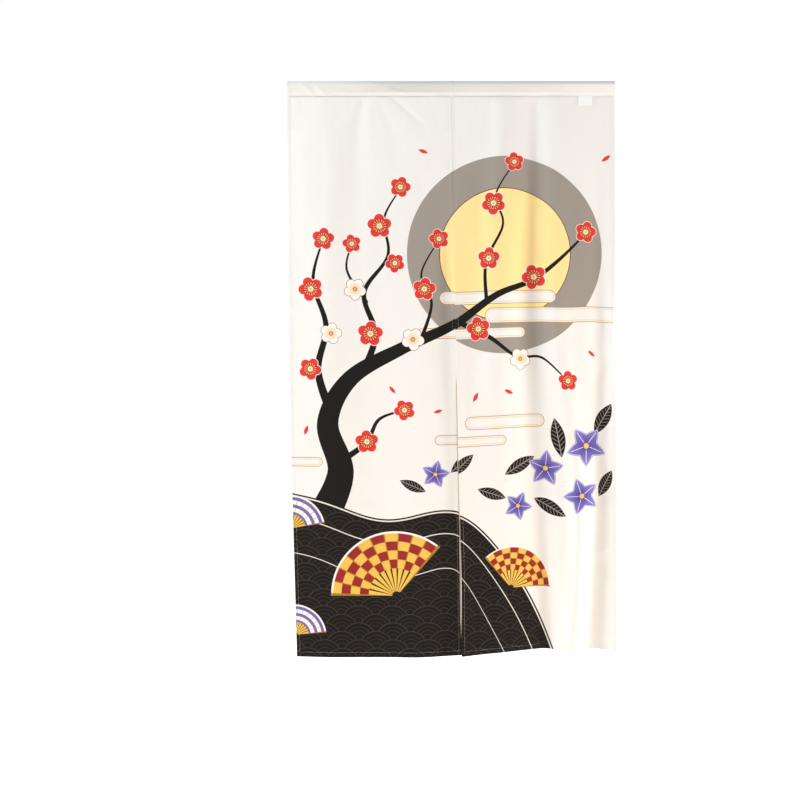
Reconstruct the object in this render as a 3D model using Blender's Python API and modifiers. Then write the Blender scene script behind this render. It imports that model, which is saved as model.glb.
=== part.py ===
"""Noren curtain: two cloth panels, side by side, that hang from a rod pocket.

The panels are sewn edge to edge down to the top of the slit, and hang free below it.
Their tops are turned over and stitched down, which makes the pocket that takes the rod.
X runs to the right along the rod, -Y faces the viewer and Z is up. The origin is on the
rod's axis, halfway along the pocket. The sizes and tables below are in millimetres.
"""

import math
from collections import namedtuple

import bmesh
import bpy

MM = 0.001

# Cloth
CLOTH_COLOUR = (0.84, 0.82, 0.78)
LABEL_COLOUR = (0.90, 0.90, 0.90)
CLOTH = 1.2
HEM_CLOTH = 1.8
SIDE_HEM = 9.0
BOTTOM_HEM = 12.0
SEWN_GAP = 0.3

# Rod pocket: a teardrop section, round over the rod and closed at the stitch line
POCKET_RADIUS = 10.0
POCKET_HEIGHT = 38.0
STITCH_THICKNESS = 4.0
STITCH_Z = POCKET_RADIUS - POCKET_HEIGHT
PANEL_TOP = STITCH_Z - SEWN_GAP
LEG_STEPS = 4
ROUND_STEPS = 10

# Centre seam: the joined edges stand up as a low ridge between two shallow grooves
SEAM_END = -300.0
SEAM_FADE = 40.0
SEAM_RIDGE = 1.6
SEAM_RIDGE_WIDTH = 3.2
SEAM_GROOVE = 0.7
SEAM_GROOVE_WIDTH = 9.0

# Mesh steps: rows close together where the creases start, wider ones below
CREASED_LENGTH = 130.0
CREASED_STEP = 13.0
ROW_STEP = 54.0
HEM_TURN = 2.0
LEFT_COLUMN_STEP = 16.5
RIGHT_COLUMN_STEP = 18.0

# Folds fade out from here up to the rod's axis, where the rod holds the cloth straight
FOLDS_FULL_Z = -48.0

# Care label, caught in the stitch line and hanging in front of the right panel
LABEL_LEFT = 332.5
LABEL_RIGHT = 366.5
LABEL_LENGTH = 26.0
LABEL_SLANT = 1.6
LABEL_CLOTH = 1.0
LABEL_CLEAR = 0.4
LABEL_KICK = 1.5

# The curtain's edges at each height: outer edge of the left panel, middle of the seam and
# slit, the space between the panels there, and outer edge of the right panel
Edges = namedtuple("Edges", "z left slit space right")
EDGES = (
    Edges(z=-28, left=-425.0, slit=0.5, space=0.4, right=425.0),
    Edges(z=-150, left=-424.0, slit=3.6, space=0.4, right=425.2),
    Edges(z=-300, left=-422.3, slit=5.8, space=0.4, right=425.4),
    Edges(z=-450, left=-421.2, slit=7.9, space=1.0, right=425.0),
    Edges(z=-577, left=-420.0, slit=10.2, space=1.2, right=422.0),
    Edges(z=-702, left=-418.6, slit=14.0, space=1.2, right=417.0),
    Edges(z=-836, left=-416.8, slit=16.9, space=1.6, right=425.0),
    Edges(z=-1040, left=-411.5, slit=20.9, space=1.4, right=429.5),
    Edges(z=-1170, left=-407.8, slit=25.0, space=2.2, right=430.0),
    Edges(z=-1306, left=-403.8, slit=27.4, space=8.0, right=430.2),
    Edges(z=-1405, left=-401.0, slit=28.0, space=2.2, right=430.0),
    Edges(z=-1485, left=-399.0, slit=28.4, space=1.2, right=429.2),
)

# Height of the bottom hem's edge, at shares of each panel's width from its left edge
HemPoint = namedtuple("HemPoint", "share z")
LEFT_HEM = (
    HemPoint(share=0.00, z=-1482.5),
    HemPoint(share=0.30, z=-1484.5),
    HemPoint(share=0.69, z=-1485.5),
    HemPoint(share=1.00, z=-1480.0),
)
RIGHT_HEM = (
    HemPoint(share=0.00, z=-1482.5),
    HemPoint(share=0.22, z=-1473.5),
    HemPoint(share=0.51, z=-1463.5),
    HemPoint(share=0.69, z=-1468.0),
    HemPoint(share=0.84, z=-1462.5),
    HemPoint(share=1.00, z=-1470.5),
)

# Folds that run down the cloth. Each is a few stations from the top down: where its crest
# is, how far it stands out towards the viewer (a trough is negative), and its half width
Station = namedtuple("Station", "z x rise width")
LEFT_FOLDS = {
    "outer swell": (
        Station(z=-30, x=-335, rise=1.0, width=45),
        Station(z=-220, x=-330, rise=4.0, width=60),
        Station(z=-800, x=-318, rise=5.0, width=70),
        Station(z=-1490, x=-315, rise=6.0, width=70),
    ),
    "broad crease": (
        Station(z=-30, x=-225, rise=-3.0, width=13),
        Station(z=-90, x=-238, rise=-4.2, width=15),
        Station(z=-195, x=-240, rise=-3.2, width=24),
        Station(z=-460, x=-236, rise=-0.6, width=42),
    ),
    "faint crease": (
        Station(z=-30, x=-189, rise=-1.6, width=9),
        Station(z=-81, x=-171, rise=-2.4, width=11),
        Station(z=-150, x=-140, rise=-0.2, width=16),
    ),
    "sharp crease": (
        Station(z=-30, x=-150, rise=-3.2, width=10),
        Station(z=-52, x=-129, rise=-4.2, width=10),
        Station(z=-78, x=-101, rise=-3.6, width=11),
        Station(z=-112, x=-69, rise=-1.6, width=14),
        Station(z=-150, x=-45, rise=0.0, width=16),
    ),
    "lower trough": (
        Station(z=-600, x=-190, rise=0.0, width=60),
        Station(z=-1100, x=-180, rise=-4.0, width=60),
        Station(z=-1490, x=-172, rise=-5.5, width=60),
    ),
    "lower swell": (
        Station(z=-650, x=-70, rise=0.0, width=40),
        Station(z=-1100, x=-85, rise=3.0, width=45),
        Station(z=-1490, x=-75, rise=5.0, width=45),
    ),
    "trough by the slit": (
        Station(z=-300, x=-30, rise=0.0, width=24),
        Station(z=-480, x=-12, rise=-5.0, width=26),
        Station(z=-620, x=-8, rise=-4.0, width=28),
        Station(z=-900, x=0, rise=-1.5, width=30),
        Station(z=-1490, x=20, rise=-2.5, width=34),
    ),
}
RIGHT_FOLDS = {
    "edge by the slit": (
        Station(z=-300, x=6, rise=0.0, width=24),
        Station(z=-600, x=12, rise=4.0, width=32),
        Station(z=-1306, x=30, rise=6.0, width=34),
        Station(z=-1490, x=30, rise=9.0, width=44),
    ),
    "inner ridge": (
        Station(z=-30, x=131, rise=3.5, width=26),
        Station(z=-220, x=130, rise=7.5, width=32),
        Station(z=-500, x=120, rise=11.0, width=42),
        Station(z=-1000, x=116, rise=9.5, width=46),
        Station(z=-1490, x=122, rise=5.0, width=50),
    ),
    "inner trough": (
        Station(z=-30, x=216, rise=-3.5, width=22),
        Station(z=-220, x=214, rise=-8.0, width=27),
        Station(z=-494, x=204, rise=-11.0, width=31),
        Station(z=-900, x=220, rise=-11.0, width=36),
        Station(z=-1233, x=240, rise=-13.0, width=32),
        Station(z=-1490, x=249, rise=-15.0, width=31),
    ),
    "outer ridge": (
        Station(z=-30, x=276, rise=2.0, width=25),
        Station(z=-560, x=278, rise=7.0, width=31),
        Station(z=-880, x=312, rise=10.0, width=30),
        Station(z=-1060, x=334, rise=13.0, width=27),
        Station(z=-1337, x=328, rise=14.0, width=26),
        Station(z=-1490, x=311, rise=12.0, width=29),
    ),
    "outer trough": (
        Station(z=-30, x=387, rise=-2.0, width=24),
        Station(z=-560, x=388, rise=-7.5, width=28),
        Station(z=-900, x=388, rise=-8.0, width=24),
        Station(z=-1233, x=374, rise=-11.0, width=23),
        Station(z=-1490, x=374, rise=-12.0, width=24),
    ),
    "outer edge": (
        Station(z=-120, x=426, rise=0.0, width=20),
        Station(z=-560, x=424, rise=4.0, width=20),
        Station(z=-1200, x=430, rise=7.0, width=22),
        Station(z=-1490, x=430, rise=9.0, width=26),
    ),
}

# Small dents and bulges where the cloth is pulled sideways: centre, how far it stands out,
# half length along X, half height along Z, and the drop of its line across its half length
Dent = namedtuple("Dent", "x z rise length height drop")
DIMPLES = (
    Dent(x=404, z=-625, rise=-3.0, length=20, height=22, drop=6),
    Dent(x=408, z=-742, rise=-3.5, length=22, height=26, drop=-8),
    Dent(x=400, z=-838, rise=2.0, length=26, height=14, drop=8),
    Dent(x=402, z=-884, rise=-2.5, length=24, height=15, drop=5),
    Dent(x=404, z=-1206, rise=3.5, length=28, height=15, drop=-5),
    Dent(x=398, z=-1256, rise=-2.5, length=22, height=16, drop=6),
)

# Puckers in the front of the pocket, where the cloth has slid along the rod
PUCKERS = (
    Dent(x=-371, z=-13, rise=1.1, length=14, height=7, drop=9),
    Dent(x=-330, z=-19, rise=1.1, length=16, height=7, drop=8),
    Dent(x=-268, z=-12, rise=-1.1, length=26, height=5, drop=8),
    Dent(x=-212, z=-14, rise=-1.0, length=24, height=5, drop=-3),
    Dent(x=-163, z=-9, rise=1.2, length=34, height=5, drop=9),
    Dent(x=-140, z=-10, rise=-1.1, length=42, height=4, drop=6),
    Dent(x=-52, z=-14, rise=-0.9, length=44, height=5, drop=3),
)


def smooth(t):
    """Runs from 0 at t = 0 to 1 at t = 1, level at both ends."""
    t = min(max(t, 0.0), 1.0)
    return t * t * (3.0 - 2.0 * t)


def through(rows, key, value, column):
    """The column's value where the key column is value, on a smooth curve through the rows."""
    keys = [getattr(row, key) for row in rows]
    values = [getattr(row, column) for row in rows]
    if keys[0] > keys[-1]:
        keys = keys[::-1]
        values = values[::-1]
    if value <= keys[0]:
        return values[0]
    if value >= keys[-1]:
        return values[-1]
    last = len(keys) - 1
    after = next(i for i in range(1, last + 1) if keys[i] >= value)

    def slope(i):
        low = max(i - 1, 0)
        high = min(i + 1, last)
        return (values[high] - values[low]) / (keys[high] - keys[low])

    before = after - 1
    span = keys[after] - keys[before]
    t = (value - keys[before]) / span
    level = smooth(t)
    return (
        (1.0 - level) * values[before]
        + level * values[after]
        + t * (1.0 - t) ** 2 * slope(before) * span
        - t * t * (1.0 - t) * slope(after) * span
    )


def hump(offset):
    """A soft bell of height 1, with its half width at an offset of 1."""
    return math.exp(-offset * offset)


def fold_rise(stations, x, z):
    centre = through(stations, "z", z, "x")
    width = through(stations, "z", z, "width")
    return through(stations, "z", z, "rise") * hump((x - centre) / width)


def dent_rise(dent, x, z):
    along = (x - dent.x) / dent.length
    line = dent.z - dent.drop * along
    return dent.rise * hump(along) * hump((z - line) / dent.height)


def seam_rise(x, z):
    """The low ridge over the centre seam, gone a little below the seam's end."""
    offset = x - through(EDGES, "z", z, "slit")
    ridge = SEAM_RIDGE * hump(offset / SEAM_RIDGE_WIDTH)
    groove = SEAM_GROOVE * hump(offset / SEAM_GROOVE_WIDTH)
    return (ridge - groove) * smooth((z - SEAM_END + SEAM_FADE) / SEAM_FADE)


def drape(folds, x, z):
    """How far the cloth stands out towards the viewer at a place on the curtain."""
    rise = sum(fold_rise(stations, x, z) for stations in folds.values())
    rise += sum(dent_rise(dent, x, z) for dent in DIMPLES)
    return rise * smooth(z / FOLDS_FULL_Z) + seam_rise(x, z)


def spread(start, stop, step):
    """Evenly spaced values from start up to but not at stop, about a step apart."""
    count = max(1, round(abs(stop - start) / step))
    return [start + (stop - start) * i / count for i in range(count)]


def grid(columns, rows):
    """A bmesh grid, and for each of its vertices the column and row values it stands for."""
    mesh = bmesh.new()
    mesh.verts.layers.float.new("thickness")
    bmesh.ops.create_grid(mesh, x_segments=len(columns) - 1, y_segments=len(rows) - 1, size=0.5)
    places = {}
    for vertex in mesh.verts:
        i = round((vertex.co.x + 0.5) * (len(columns) - 1))
        j = round((vertex.co.y + 0.5) * (len(rows) - 1))
        places[vertex] = columns[i], rows[j]
    return mesh, places


def fabric(name, colour):
    material = bpy.data.materials.new(name)
    material.use_nodes = True
    shader = material.node_tree.nodes["Principled BSDF"]
    shader.inputs["Base Color"].default_value = (*colour, 1.0)
    shader.inputs["Roughness"].default_value = 0.85
    shader.inputs["Metallic"].default_value = 0.0
    return material


def finish(mesh, name, material, collection):
    bmesh.ops.recalc_face_normals(mesh, faces=mesh.faces)
    bmesh.ops.scale(mesh, vec=(MM, MM, MM), verts=mesh.verts)
    data = bpy.data.meshes.new(name)
    mesh.to_mesh(data)
    mesh.free()
    data.materials.append(material)
    data.shade_smooth()
    data.set_sharp_from_angle(angle=math.radians(50))
    piece = bpy.data.objects.new(name, data)
    collection.objects.link(piece)
    return piece


def sheet(name, columns, rows, front, wall, material, collection):
    """A sheet of cloth: a grid laid on its front face, then extruded back to its thickness."""
    mesh, places = grid(columns, rows)
    thickness = mesh.verts.layers.float["thickness"]
    for vertex, (share, down) in places.items():
        vertex.co = front(share, down)
        vertex[thickness] = wall(share, down)
    copied = bmesh.ops.extrude_face_region(mesh, geom=mesh.faces[:], use_keep_orig=True)
    for part in copied["geom"]:
        if isinstance(part, bmesh.types.BMVert):
            part.co.y += part[thickness]
    return finish(mesh, name, material, collection)


def panel(name, edges, hem, folds, column_step, material, collection):
    """One panel, from just under the stitch line to its bottom hem."""

    def sides(z):
        slit = through(EDGES, "z", z, "slit")
        space = through(EDGES, "z", z, "space") / 2.0
        if edges == "left":
            return through(EDGES, "z", z, "left"), slit - space
        return slit + space, through(EDGES, "z", z, "right")

    left, right = sides(PANEL_TOP)
    width = right - left
    hem_share = SIDE_HEM / width
    ridge_share = SEAM_RIDGE_WIDTH / width
    turn = HEM_TURN / width
    inner = spread(hem_share + turn, 1.0 - hem_share - turn, column_step / width)
    columns = [0.0, ridge_share, hem_share, *inner]
    columns += [1.0 - hem_share - turn, 1.0 - hem_share, 1.0 - ridge_share, 1.0]

    length = PANEL_TOP - hem[0].z
    creased = CREASED_LENGTH / length
    hem_start = 1.0 - BOTTOM_HEM / length
    last_full = hem_start - HEM_TURN / length
    rows = spread(0.0, creased, CREASED_STEP / length)
    rows += [*spread(creased, last_full, ROW_STEP / length), last_full, hem_start, 1.0]

    def front(share, down):
        low = through(hem, "share", share, "z")
        z = PANEL_TOP + down * (low - PANEL_TOP)
        left_x, right_x = sides(z)
        x = left_x + share * (right_x - left_x)
        return x, -CLOTH / 2.0 - drape(folds, x, z), z

    def wall(share, down):
        at_side = share <= hem_share or share >= 1.0 - hem_share
        at_bottom = down >= hem_start
        return HEM_CLOTH if at_side or at_bottom else CLOTH

    return sheet(name, columns, rows, front, wall, material, collection)


def pocket_section():
    """The pocket's outer face as (y, z) points: up its front leg from the stitch line, over
    the rod, down its back leg, and across under the stitch line to the start again."""
    half = STITCH_THICKNESS / 2.0
    reach = math.hypot(half, STITCH_Z)
    to_foot = math.atan2(STITCH_Z, half)
    touch = to_foot + math.acos(POCKET_RADIUS / reach)
    back_y = POCKET_RADIUS * math.cos(touch)
    back_z = POCKET_RADIUS * math.sin(touch)

    leg = []
    for step in range(LEG_STEPS):
        t = step / LEG_STEPS
        leg.append((half + t * (back_y - half), STITCH_Z + t * (back_z - STITCH_Z)))
    over = []
    for step in range(ROUND_STEPS + 1):
        angle = touch + (math.pi - 2.0 * touch) * step / ROUND_STEPS
        over.append((POCKET_RADIUS * math.cos(angle), POCKET_RADIUS * math.sin(angle)))

    front_leg = [(-y, z) for y, z in leg]
    return front_leg + over[::-1] + leg[::-1] + front_leg[:1]


def pocket(name, start, stop, column_step, folds, material, collection):
    """Half of the rod pocket: an open tube, with the folds running up into its legs."""
    section = pocket_section()
    columns = [*spread(start, stop, column_step), stop]
    mesh, places = grid(columns, section)
    for vertex, (x, (y, z)) in places.items():
        y -= drape(folds, x, min(z, 0.0))
        if y < 0.0:
            y -= sum(dent_rise(dent, x, z) for dent in PUCKERS)
        vertex.co = x, y, z
    bmesh.ops.remove_doubles(mesh, verts=mesh.verts, dist=1e-4)
    piece = finish(mesh, name, material, collection)
    wall = piece.modifiers.new("Cloth", "SOLIDIFY")
    wall.thickness = CLOTH * MM
    wall.offset = -1.0
    wall.use_even_offset = True
    return piece


def label(material, collection):
    """The care label, which follows the right panel's front and kicks out at its foot."""
    columns = [i / 4.0 for i in range(5)]
    rows = [i / 4.0 for i in range(5)]

    def front(share, down):
        x = LABEL_LEFT + share * (LABEL_RIGHT - LABEL_LEFT)
        length = LABEL_LENGTH - LABEL_SLANT * share
        z = PANEL_TOP - down * length
        clear = CLOTH / 2.0 + LABEL_CLEAR + LABEL_CLOTH + LABEL_KICK * down * down
        return x, -clear - drape(RIGHT_FOLDS, x, z), z

    def wall(share, down):
        return LABEL_CLOTH

    return sheet("care_label", columns, rows, front, wall, material, collection)


def main():
    for old in list(bpy.data.objects):
        bpy.data.objects.remove(old)
    collection = bpy.data.collections.new("noren_curtain")
    bpy.context.scene.collection.children.link(collection)

    cloth = fabric("printed polyester cloth", CLOTH_COLOUR)
    tape = fabric("white label tape", LABEL_COLOUR)
    left_step = LEFT_COLUMN_STEP
    right_step = RIGHT_COLUMN_STEP

    panel("left_panel", "left", LEFT_HEM, LEFT_FOLDS, left_step, cloth, collection)
    panel("right_panel", "right", RIGHT_HEM, RIGHT_FOLDS, right_step, cloth, collection)

    middle = through(EDGES, "z", STITCH_Z, "slit")
    space = through(EDGES, "z", STITCH_Z, "space") / 2.0
    left_end = EDGES[0].left
    right_end = EDGES[0].right
    pocket("left_pocket", left_end, middle - space, left_step, LEFT_FOLDS, cloth, collection)
    pocket("right_pocket", middle + space, right_end, right_step, RIGHT_FOLDS, cloth, collection)
    label(tape, collection)


main()
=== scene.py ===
"""The looks of a noren curtain: two printed cloth panels on one rod pocket.

It is laid out as a Blender add-on and run as a script. X runs to the right along the rod,
-Y faces the viewer and Z is up, with the origin on the rod's axis. The tables are in
millimetres, as the construction has them, and become metres where a mesh is made.
"""

import math
from collections import namedtuple

import bmesh
import bpy
import numpy as np
from bpy.props import FloatProperty, FloatVectorProperty, PointerProperty
from bpy.types import Operator, Panel, PropertyGroup
from mathutils import Matrix, Vector, noise


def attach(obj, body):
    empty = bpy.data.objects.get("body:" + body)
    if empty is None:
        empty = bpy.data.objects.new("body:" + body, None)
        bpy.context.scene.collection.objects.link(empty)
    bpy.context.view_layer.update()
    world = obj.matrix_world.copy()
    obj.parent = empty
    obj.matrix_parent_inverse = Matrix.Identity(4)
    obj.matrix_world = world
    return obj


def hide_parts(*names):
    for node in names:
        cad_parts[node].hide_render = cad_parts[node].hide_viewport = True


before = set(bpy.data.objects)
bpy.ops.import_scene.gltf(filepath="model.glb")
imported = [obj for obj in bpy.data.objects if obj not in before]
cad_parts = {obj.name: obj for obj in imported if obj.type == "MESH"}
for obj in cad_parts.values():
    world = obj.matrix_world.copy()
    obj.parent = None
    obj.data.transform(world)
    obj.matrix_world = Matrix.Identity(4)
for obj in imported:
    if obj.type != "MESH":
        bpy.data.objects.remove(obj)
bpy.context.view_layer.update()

bl_info = {
    "name": "Noren Curtain",
    "version": (1, 0, 0),
    "blender": (4, 5, 0),
    "location": "View3D > Sidebar > Noren",
    "description": "Hangs a printed two-panel noren with its pocket, label and stitching",
    "category": "Object",
}

MM = 0.001

# Rod pocket and stitch line
POCKET_RADIUS = 10.0
STITCH_Z = -28.0
STITCH_THICKNESS = 4.0
FLAP_EDGE_Z = -29.3
FLAP_TURN = 10.0
FLAP_STAND_OFF = 1.0
SIDE_HEM = 8.0
BOTTOM_HEM = 12.0
HEM_FACTOR = 1.6
FOLDS_FULL_Z = -48.0
BARE_EDGE = 3.6
BARE_TOP = -750.0
BARE_END = -1440.0
PANEL_WIDTH = 424.5
CLOTH_HALF = 0.3

# Slit: half the gap in the sewn part, how far the free part opens, and how far the left
# edge laps over the right one where the slit is closed
SEWN_HALF_GAP = 0.12
SLIT_OPENING = 0.06
SLIT_CLOSED_SPACE = 1.6
SLIT_LAP = 1.2
SLIT_LAP_FADE = 60.0
LAPPED_BELOW = 0.05

# Relief: dips along the stitch lines, and the turn of the edges at the seam and the slit
SIDE_DIP = 0.14
HEM_DIP = 0.20
DIP_WIDTH = 1.3
SEAM_TURN = 1.0
BARE_TURN = 2.5
PUCKER_FACTOR = 1.7

# Mesh rows of a panel, with closer ones at these heights over the bottom edge
PANEL_ROWS = 340
HEM_ROWS_START = 22.0
HEM_ROWS = (19, 16, 13.5, 12, 10.5, 8, 5, 2.5, 1, 0)

# Stitches: spacing, half the length they span, how far they stand out, and their half sizes
STITCH_PITCH = 3.2
STITCH_REACH = 1.2
STITCH_STAND_OFF = 0.42
STITCH_SIZE = (1.25, 0.17, 0.15)

# Centre seam
SEAM_END = -300.0
SEAM_FADE = 40.0
SEAM_RIDGE = 1.1
SEAM_RIDGE_WIDTH = 2.4
SEAM_GROOVE = 0.5
SEAM_GROOVE_WIDTH = 8.0

# Care label
LABEL_LEFT = 332.5
LABEL_RIGHT = 366.5
LABEL_LENGTH = 26.0
LABEL_SLANT = 1.6
LABEL_STAND_OFF = 1.0
LABEL_KICK = 0.8

# The curtain's edges at each height
Edges = namedtuple("Edges", "z left slit space right")
EDGES = (
    Edges(z=-28, left=-425.0, slit=0.5, space=0.4, right=425.0),
    Edges(z=-150, left=-424.0, slit=3.6, space=0.4, right=425.2),
    Edges(z=-300, left=-422.3, slit=5.8, space=0.4, right=425.4),
    Edges(z=-450, left=-421.2, slit=7.9, space=1.0, right=425.0),
    Edges(z=-577, left=-420.0, slit=10.2, space=1.2, right=422.0),
    Edges(z=-702, left=-418.6, slit=14.0, space=1.2, right=417.0),
    Edges(z=-836, left=-416.8, slit=16.9, space=1.6, right=425.0),
    Edges(z=-1040, left=-411.5, slit=20.9, space=1.4, right=429.5),
    Edges(z=-1170, left=-407.8, slit=25.0, space=2.2, right=430.0),
    Edges(z=-1306, left=-403.8, slit=27.4, space=8.0, right=430.2),
    Edges(z=-1405, left=-401.0, slit=28.0, space=2.2, right=430.0),
    Edges(z=-1485, left=-399.0, slit=28.4, space=1.2, right=429.2),
)

# Height of the bottom edge at shares of each panel's width
HemPoint = namedtuple("HemPoint", "share z")
LEFT_HEM = (
    HemPoint(share=0.00, z=-1482.5),
    HemPoint(share=0.30, z=-1484.5),
    HemPoint(share=0.69, z=-1485.5),
    HemPoint(share=1.00, z=-1480.0),
)
RIGHT_HEM = (
    HemPoint(share=0.00, z=-1482.5),
    HemPoint(share=0.22, z=-1473.5),
    HemPoint(share=0.51, z=-1463.5),
    HemPoint(share=0.69, z=-1468.0),
    HemPoint(share=0.84, z=-1462.5),
    HemPoint(share=1.00, z=-1470.5),
)

# Folds from the top down: where the crest is, how far it stands out, and its half width
Station = namedtuple("Station", "z x rise width")
LEFT_FOLDS = {
    "outer swell": (
        Station(z=-30, x=-335, rise=1.0, width=45),
        Station(z=-220, x=-330, rise=4.0, width=60),
        Station(z=-800, x=-318, rise=5.0, width=70),
        Station(z=-1490, x=-315, rise=6.0, width=70),
    ),
    "broad crease": (
        Station(z=-30, x=-225, rise=-1.2, width=13),
        Station(z=-90, x=-238, rise=-1.9, width=15),
        Station(z=-195, x=-240, rise=-1.6, width=24),
        Station(z=-460, x=-236, rise=-0.4, width=42),
    ),
    "faint crease": (
        Station(z=-30, x=-189, rise=-0.5, width=9),
        Station(z=-81, x=-171, rise=-0.8, width=11),
        Station(z=-150, x=-140, rise=-0.1, width=16),
    ),
    "sharp crease": (
        Station(z=-30, x=-150, rise=-1.1, width=10),
        Station(z=-52, x=-129, rise=-1.5, width=10),
        Station(z=-78, x=-101, rise=-1.3, width=11),
        Station(z=-112, x=-69, rise=-0.6, width=14),
        Station(z=-150, x=-45, rise=0.0, width=16),
    ),
    "lower trough": (
        Station(z=-600, x=-190, rise=0.0, width=60),
        Station(z=-1100, x=-180, rise=-4.0, width=60),
        Station(z=-1490, x=-172, rise=-5.5, width=60),
    ),
    "lower swell": (
        Station(z=-650, x=-70, rise=0.0, width=40),
        Station(z=-1100, x=-85, rise=3.0, width=45),
        Station(z=-1490, x=-75, rise=5.0, width=45),
    ),
    "trough by the slit": (
        Station(z=-300, x=-30, rise=0.0, width=24),
        Station(z=-480, x=-12, rise=-5.0, width=26),
        Station(z=-620, x=-8, rise=-4.0, width=28),
        Station(z=-900, x=0, rise=-1.5, width=30),
        Station(z=-1490, x=20, rise=-2.5, width=34),
    ),
}
RIGHT_FOLDS = {
    "edge by the slit": (
        Station(z=-300, x=6, rise=0.0, width=24),
        Station(z=-600, x=12, rise=4.0, width=32),
        Station(z=-1306, x=30, rise=6.0, width=34),
        Station(z=-1490, x=30, rise=9.0, width=44),
    ),
    "inner ridge": (
        Station(z=-30, x=131, rise=3.5, width=26),
        Station(z=-220, x=130, rise=7.5, width=32),
        Station(z=-500, x=120, rise=11.0, width=42),
        Station(z=-1000, x=116, rise=9.5, width=46),
        Station(z=-1490, x=122, rise=5.0, width=50),
    ),
    "inner trough": (
        Station(z=-30, x=216, rise=-3.5, width=22),
        Station(z=-220, x=214, rise=-8.0, width=27),
        Station(z=-494, x=204, rise=-11.0, width=31),
        Station(z=-900, x=220, rise=-11.0, width=36),
        Station(z=-1233, x=240, rise=-13.0, width=32),
        Station(z=-1490, x=249, rise=-15.0, width=31),
    ),
    "outer ridge": (
        Station(z=-30, x=276, rise=2.0, width=25),
        Station(z=-560, x=278, rise=7.0, width=31),
        Station(z=-880, x=312, rise=10.0, width=30),
        Station(z=-1060, x=334, rise=13.0, width=27),
        Station(z=-1337, x=328, rise=14.0, width=26),
        Station(z=-1490, x=311, rise=12.0, width=29),
    ),
    "outer trough": (
        Station(z=-30, x=387, rise=-2.0, width=24),
        Station(z=-560, x=388, rise=-5.5, width=29),
        Station(z=-900, x=388, rise=-6.0, width=27),
        Station(z=-1233, x=374, rise=-6.5, width=27),
        Station(z=-1490, x=374, rise=-9.0, width=26),
    ),
    "outer edge": (
        Station(z=-120, x=426, rise=0.0, width=20),
        Station(z=-560, x=424, rise=4.0, width=20),
        Station(z=-1200, x=430, rise=7.0, width=22),
        Station(z=-1490, x=430, rise=9.0, width=26),
    ),
}

# Dents: centre, how far it stands out, half length, half height, drop over its half length
Dent = namedtuple("Dent", "x z rise length height drop")
DIMPLES = (
    Dent(x=404, z=-625, rise=-3.0, length=20, height=22, drop=6),
    Dent(x=408, z=-742, rise=-3.5, length=22, height=26, drop=-8),
    Dent(x=400, z=-838, rise=2.0, length=26, height=14, drop=8),
    Dent(x=402, z=-884, rise=-2.5, length=24, height=15, drop=5),
    Dent(x=404, z=-1206, rise=3.5, length=28, height=15, drop=-5),
    Dent(x=398, z=-1256, rise=-2.5, length=22, height=16, drop=6),
)
PUCKERS = (
    Dent(x=-371, z=-13, rise=1.1, length=14, height=7, drop=9),
    Dent(x=-330, z=-19, rise=1.1, length=16, height=7, drop=8),
    Dent(x=-268, z=-12, rise=-1.1, length=26, height=5, drop=8),
    Dent(x=-212, z=-14, rise=-1.0, length=24, height=5, drop=-3),
    Dent(x=-163, z=-9, rise=1.2, length=34, height=5, drop=9),
    Dent(x=-140, z=-10, rise=-1.1, length=42, height=4, drop=6),
    Dent(x=-52, z=-14, rise=-0.9, length=44, height=5, drop=3),
)

# The print, in metres on the flat cloth: x from the centre seam, y up from the stitch line.
# A motif's turn is in degrees
Motif = namedtuple("Motif", "x y size turn kind")
MOON = (0.135, -0.414)
MOON_RADIUS = 0.172
HALO_RADIUS = 0.256
MIST = (
    (-0.040, 0.270, -0.525, 0.017),
    (0.080, 0.470, -0.572, 0.020),
    (-0.100, 0.190, -0.617, 0.014),
    (-0.460, -0.345, -0.949, 0.012),
    (0.020, 0.235, -0.847, 0.017),
    (-0.060, 0.130, -0.894, 0.013),
)
TRUNK = (
    ((-0.345, -1.088, 0.040), (-0.300, -0.973, 0.033), (-0.330, -0.847, 0.027),
     (-0.270, -0.732, 0.021), (-0.140, -0.655, 0.016), (-0.010, -0.597, 0.012),
     (0.110, -0.520, 0.0085), (0.225, -0.472, 0.006), (0.345, -0.366, 0.0025)),
    ((-0.222, -0.539, 0.004), (-0.275, -0.453, 0.003), (-0.262, -0.385, 0.0018)),
)
TWIGS = (
    ((-0.318, -0.828, 0.012), (-0.352, -0.713, 0.009), (-0.330, -0.597, 0.007),
     (-0.362, -0.481, 0.0045), (-0.335, -0.371, 0.002)),
    ((-0.235, -0.708, 0.009), (-0.205, -0.616, 0.0075), (-0.232, -0.510, 0.006),
     (-0.170, -0.414, 0.004), (-0.178, -0.318, 0.003), (-0.135, -0.241, 0.0016)),
    ((0.010, -0.586, 0.007), (0.090, -0.626, 0.0055), (0.165, -0.679, 0.004),
     (0.235, -0.684, 0.003), (0.300, -0.742, 0.0016)),
    ((0.085, -0.535, 0.005), (0.085, -0.433, 0.004), (0.130, -0.337, 0.003),
     (0.112, -0.260, 0.0024), (0.160, -0.178, 0.0014)),
    ((-0.090, -0.634, 0.005), (-0.060, -0.539, 0.0035), (-0.085, -0.462, 0.0026),
     (-0.040, -0.376, 0.0014)),
    ((-0.310, -0.953, 0.009), (-0.235, -0.900, 0.006), (-0.200, -0.838, 0.004),
     (-0.135, -0.814, 0.002)),
)
RED_BLOSSOM, PALE_BLOSSOM = 0.0, 0.05
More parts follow.
